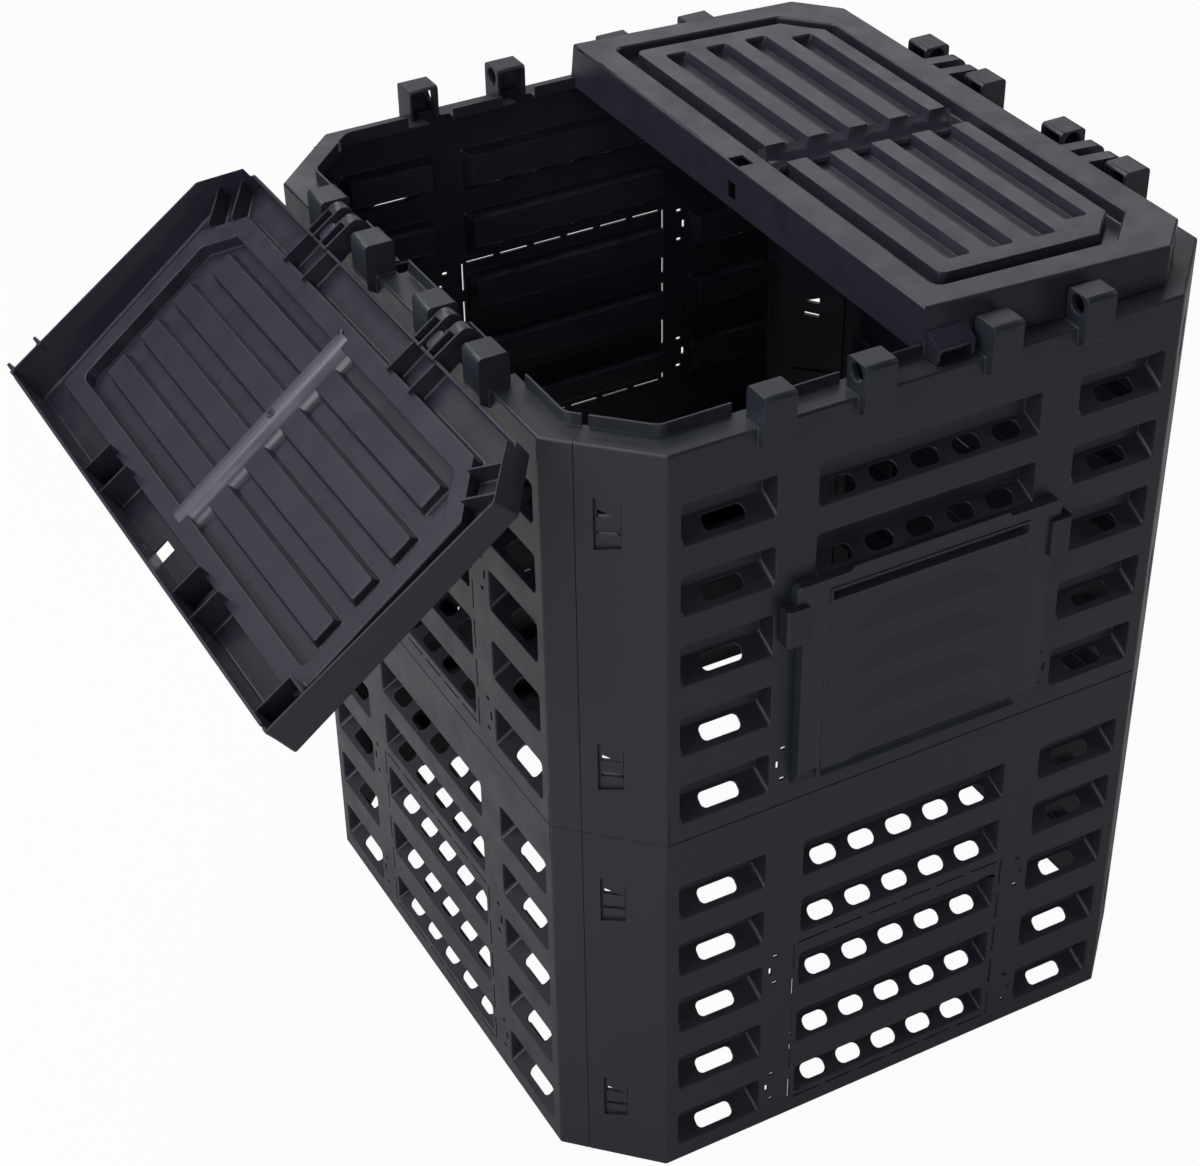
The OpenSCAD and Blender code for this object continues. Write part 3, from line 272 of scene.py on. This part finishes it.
def moulded(node, material, edge, deep_axis=None, deep_edge=3.5, fold_edge=2.0, rim_edge=2.2):
    """The CAD node's own surface, with every sharp edge rounded as a mould tool rounds it. edge is the
    rounding in mm. deep_edge is that of the edges below the rim's foot which run more than
    DEEP_LENGTH along deep_axis (0 is x, 1 is y), such as a vent pocket's corners, fold_edge that of
    the long folds at the cut corners, and rim_edge that above the rim's foot, on the lugs. Faces stay
    flat, apart from an arc's strips."""
    mesh = welded(node)
    widest, weight, arc = rounding(mesh, edge, deep_axis, deep_edge, fold_edge, rim_edge)
    mesh.attributes.new("bevel_weight_edge", "FLOAT", "EDGE").data.foreach_set("value", weight)
    mesh.polygons.foreach_set("use_smooth", arc)
    mesh.materials.clear()
    mesh.materials.append(material)

    # short edges and even triangles, because the rounding would turn slivers over
    bm = bmesh.new()
    bm.from_mesh(mesh)
    cut_edges(bm, LONGEST_EDGE)
    bmesh.ops.triangulate(bm, faces=[f for f in bm.faces if len(f.verts) > 4 or not f.smooth])
    bm.to_mesh(mesh)
    bm.free()

    piece = bpy.data.objects.new(node + "_moulding", mesh)
    bpy.context.scene.collection.objects.link(piece)
    bevel = piece.modifiers.new("mould_radius", "BEVEL")
    bevel.limit_method = "WEIGHT"
    bevel.width = widest
    bevel.segments = 3
    bevel.use_clamp_overlap = False
    bevel.harden_normals = True
    bevel.miter_outer = "MITER_ARC"
    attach(piece, body_of[node])
    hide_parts(node)


# One plastic in four kinds of piece: satin panels, lids and a door with more shine, and darker clips. The door's
# colour is bluer and lighter than the panels' as a painted sheen
PANEL = moulded_polypropylene("moulded_polypropylene_panel", "#252831", roughness=0.38, grain=0.10)
LID = moulded_polypropylene("moulded_polypropylene_lid", "#282834", roughness=0.33, grain=0.10)
# bluer and lighter than the panels: a painted sheen on the door
DOOR = moulded_polypropylene("moulded_polypropylene_door", "#282b36", roughness=0.33, grain=0.08)
CLIP = moulded_polypropylene("moulded_polypropylene_clip", "#22252e", roughness=0.35, grain=0.06)

for wall, deep in (("front", 1), ("right", 0), ("back", 1), ("left", 0)):
    for tier in ("lower", "upper"):
        moulded(f"{wall}_{tier}_panel", PANEL, edge=1.2, deep_axis=deep)
for lid in ("right_lid", "left_lid"):
    moulded(lid, LID, edge=2.2)
moulded("access_door", DOOR, edge=1.6)
for clip in ("left_door_clip", "right_door_clip"):
    moulded(clip, CLIP, edge=0.9)


# Marks that the mould leaves under the lids

# A point of the right lid's hinge line, in mm
HINGE = Vector((300, 0, 767))
LID_SWING = math.radians(215.5)
LID_SLOPE = math.radians(2.447)
LID_ORIGIN = (1.5, 0, 790.5)
# From the lid's own frame, with z square to its sloping top and x from the free edge, to the closed
# right lid
ON_LID = Matrix.Translation(LID_ORIGIN) @ Matrix.Rotation(LID_SLOPE, 4, "Y")
# From the closed right lid to each lid as it stands
LID_PLACE = {
    "right_lid": Matrix.Identity(4),
    "left_lid": Matrix.Translation((-HINGE.x, 0, HINGE.z)) @ Matrix.Rotation(-LID_SWING, 4, "Y")
                @ Matrix.Translation((HINGE.x, 0, -HINGE.z)) @ Matrix.Rotation(math.pi, 4, "Z"),
}

ROUND_STEPS = 48
BAR_STEPS = 40


def turned(profile, centre, stretch=0.0):
    """A profile of (radius, drop) pairs turned about the line through centre that is square to the lid:
    the point at angle a is centre + radius * (cos a, sin a), moved along x by half of stretch to its
    own side, and drop lower."""
    a = np.linspace(0, 2 * np.pi, ROUND_STEPS + 1)[:, None]
    radius, drop = np.array(profile, float).T
    x = centre[0] + radius * np.cos(a) + np.sign(np.round(np.cos(a), 6)) * stretch / 2
    return np.stack([x, centre[1] + radius * np.sin(a), centre[2] - drop + 0 * a], axis=-1)


def bar_skin(x0, x1, radius, centre_up, half_angle):
    """Under half of a cylinder along x: angle a from the lowest line gives the point
    (x, radius * sin a, centre_up - radius * cos a)."""
    angles = np.linspace(-half_angle, half_angle, BAR_STEPS + 1)
    x, a = np.meshgrid([x0, x1], angles, indexing="ij")
    return np.stack([x, radius * np.sin(a), centre_up - radius * np.cos(a)], axis=-1)


def sheets(name, grids, place, material, body):
    """One mesh of several sheets. A sheet is an array of points in mm with two running numbers, and each
    step in both numbers makes a quad."""
    faces, start = [], 0
    for grid in grids:
        i = np.arange(grid[..., 0].size).reshape(grid.shape[:2]) + start
        faces.append(np.stack([i[:-1, :-1], i[:-1, 1:], i[1:, 1:], i[1:, :-1]], axis=-1).reshape(-1, 4))
        start += i.size
    points = np.concatenate([grid.reshape(-1, 3) for grid in grids])
    turn = np.array(place)
    points = (points @ turn[:3, :3].T + turn[:3, 3]) * MM
    mesh = bpy.data.meshes.new(name)
    mesh.from_pydata(points.tolist(), [], np.concatenate(faces).tolist())
    mesh.materials.append(material)
    mesh.shade_smooth()
    piece = bpy.data.objects.new(name, mesh)
    bpy.context.scene.collection.objects.link(piece)
    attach(piece, body)


# The bar under a lid: glossier than the plastic round it, and coloured lighter as a painted sheen, though it is
# the same plastic
GLOSSY_WITH_PAINTED_SHEEN = moulded_polypropylene("moulded_polypropylene_glossy_painted_sheen", "#50505b", roughness=0.20, grain=0.03)

# Profiles of (radius, drop) pairs, in mm
EJECTOR_RING = [(6.6, 0), (6.45, 0.3), (6.0, 0.3), (5.85, 0)]
GATE = [(4.2, 0), (4.0, 0.8), (3.0, 0.8), (2.8, 0.1), (1.6, 0.1), (1.5, 2.2), (0.9, 2.9), (0, 3.0)]
DIMPLE = [(3.2, 0), (3.0, 1.0), (2.2, 1.8), (1.0, 2.2), (0, 2.3)]
BLOCK = [(5.6, 0), (5.6, 4.0), (5.3, 4.7), (4.6, 5.0), (0, 5.0)]

# Places in the lid's own frame, in mm, and the blocks' places on the closed right lid
LID_THICK = 2.5
EJECTOR_X = (9, 54, 136.2, 218, 257)
EJECTOR_Y = (-103, 103)
BAR_ENDS = (36.3, 233.5)
BAR_RADIUS = 19.32
BAR_HALF_ANGLE = math.radians(74)
GATE_AT = (149, 0, -16.6)
DIMPLE_AT = (233.5, -5, -15.1)
BLOCKS_AT = ((283.2, 92.9, 764.7), (283.2, -109.6, 764.7))
BLOCK_STRETCH = 6.5

for lid, place in LID_PLACE.items():
    rings = [turned(EJECTOR_RING, (x, y, -LID_THICK)) for x in EJECTOR_X for y in EJECTOR_Y]
    bar = bar_skin(*BAR_ENDS, BAR_RADIUS, LID_THICK, BAR_HALF_ANGLE)
    gate = [turned(GATE, GATE_AT), turned(DIMPLE, DIMPLE_AT)]
    blocks = [turned(BLOCK, at, stretch=BLOCK_STRETCH) for at in BLOCKS_AT]
    for mark, grids, onto, material in (
        ("ejector_marks", rings, place @ ON_LID, LID),
        # the bar's sheet, lighter in colour than the lid as a painted sheen
        ("bar_glossy_painted_sheen", [bar], place @ ON_LID, GLOSSY_WITH_PAINTED_SHEEN),
        ("gate_mark", gate, place @ ON_LID, LID),
        ("finger_blocks", blocks, place, LID),
    ):
        sheets(f"{lid}_{mark}", grids, onto, material, body_of[lid])


# Floor, world and lamps

FLOOR_REACH = 12.0
# Shares of the floor's own white that rays from the camera and rays off the plastic's sheen see
CAMERA_SHARE = 0.96
SHEEN_SHARE = 0.08
ROOM_LIGHT = 0.015


def studio_floor():
    """A flat sheet. Seen by the camera it is mostly its own white, so the object's shadow stays but is
    faint."""
    mesh = bpy.data.meshes.new("floor")
    r = FLOOR_REACH
    mesh.from_pydata([(-r, -r, 0), (r, -r, 0), (r, r, 0), (-r, r, 0)], [], [(0, 1, 2, 3)])
    mat, tree = new_material("pale_floor")
    path = add(tree, "ShaderNodeLightPath")
    sheen = add(tree, "ShaderNodeMath", {0: path.outputs["Is Glossy Ray"], 1: SHEEN_SHARE},
                operation="MULTIPLY")
    share = add(tree, "ShaderNodeMath",
                {0: path.outputs["Is Camera Ray"], 1: CAMERA_SHARE, 2: sheen.outputs[0]},
                operation="MULTIPLY_ADD")
    paint = add(tree, "ShaderNodeBsdfDiffuse", Color=linear("#b8b8b8"))
    white = add(tree, "ShaderNodeEmission", Color=(1, 1, 1, 1), Strength=1.0)
    both = add(tree, "ShaderNodeMixShader",
               {0: share.outputs[0], 1: paint.outputs[0], 2: white.outputs[0]})
    add(tree, "ShaderNodeOutputMaterial", {"Surface": both.outputs[0]})
    mesh.materials.append(mat)
    floor = bpy.data.objects.new("floor", mesh)
    bpy.context.scene.collection.objects.link(floor)


def soft_box(name, place, aim, size, watts):
    """Rectangular lamp at place, which faces aim."""
    data = bpy.data.lights.new(name, "AREA")
    data.shape = "RECTANGLE"
    data.size, data.size_y = size
    data.energy = watts
    lamp = bpy.data.objects.new(name, data)
    lamp.location = place
    lamp.rotation_euler = (Vector(place) - Vector(aim)).to_track_quat("Z", "Y").to_euler()
    bpy.context.scene.collection.objects.link(lamp)


def studio_world(strength):
    """White to the camera, and a faint even light of the given strength to everything else."""
    world = bpy.data.worlds.new("studio")
    world.use_nodes = True
    tree = world.node_tree
    tree.nodes.clear()
    path = add(tree, "ShaderNodeLightPath")
    room = add(tree, "ShaderNodeBackground", Color=linear("#f4f6ff"), Strength=strength)
    white = add(tree, "ShaderNodeBackground", Color=(1, 1, 1, 1), Strength=1.0)
    both = add(tree, "ShaderNodeMixShader",
               {0: path.outputs["Is Camera Ray"], 1: room.outputs[0], 2: white.outputs[0]})
    add(tree, "ShaderNodeOutputWorld", {"Surface": both.outputs[0]})
    bpy.context.scene.world = world


photo_camera()
studio_floor()
studio_world(ROOM_LIGHT)

# Lamps: place, aim and size in metres, and power in watts
MIDDLE = (0.0, 0.0, 0.5)
UPPER_TIER = (0.0, 0.0, 0.7)
soft_box("top_box", (-0.9, 1.0, 3.2), MIDDLE, (3.0, 2.4), 74)
soft_box("front_box", (-1.4, -3.4, 2.2), MIDDLE, (2.2, 1.6), 36)
soft_box("back_box", (0.4, 3.0, 2.2), UPPER_TIER, (1.0, 1.0), 7)
soft_box("back_right_box", (2.3, 2.7, 2.3), UPPER_TIER, (2.2, 1.6), 12)
soft_box("right_box", (3.3, -0.5, 1.8), MIDDLE, (2.0, 2.0), 20)
soft_box("left_box", (-3.2, -0.6, 1.8), MIDDLE, (2.0, 2.0), 53)
soft_box("left_back_box", (-2.6, 2.2, 2.4), MIDDLE, (2.0, 2.0), 8)

bpy.context.scene.view_settings.view_transform = "Standard"
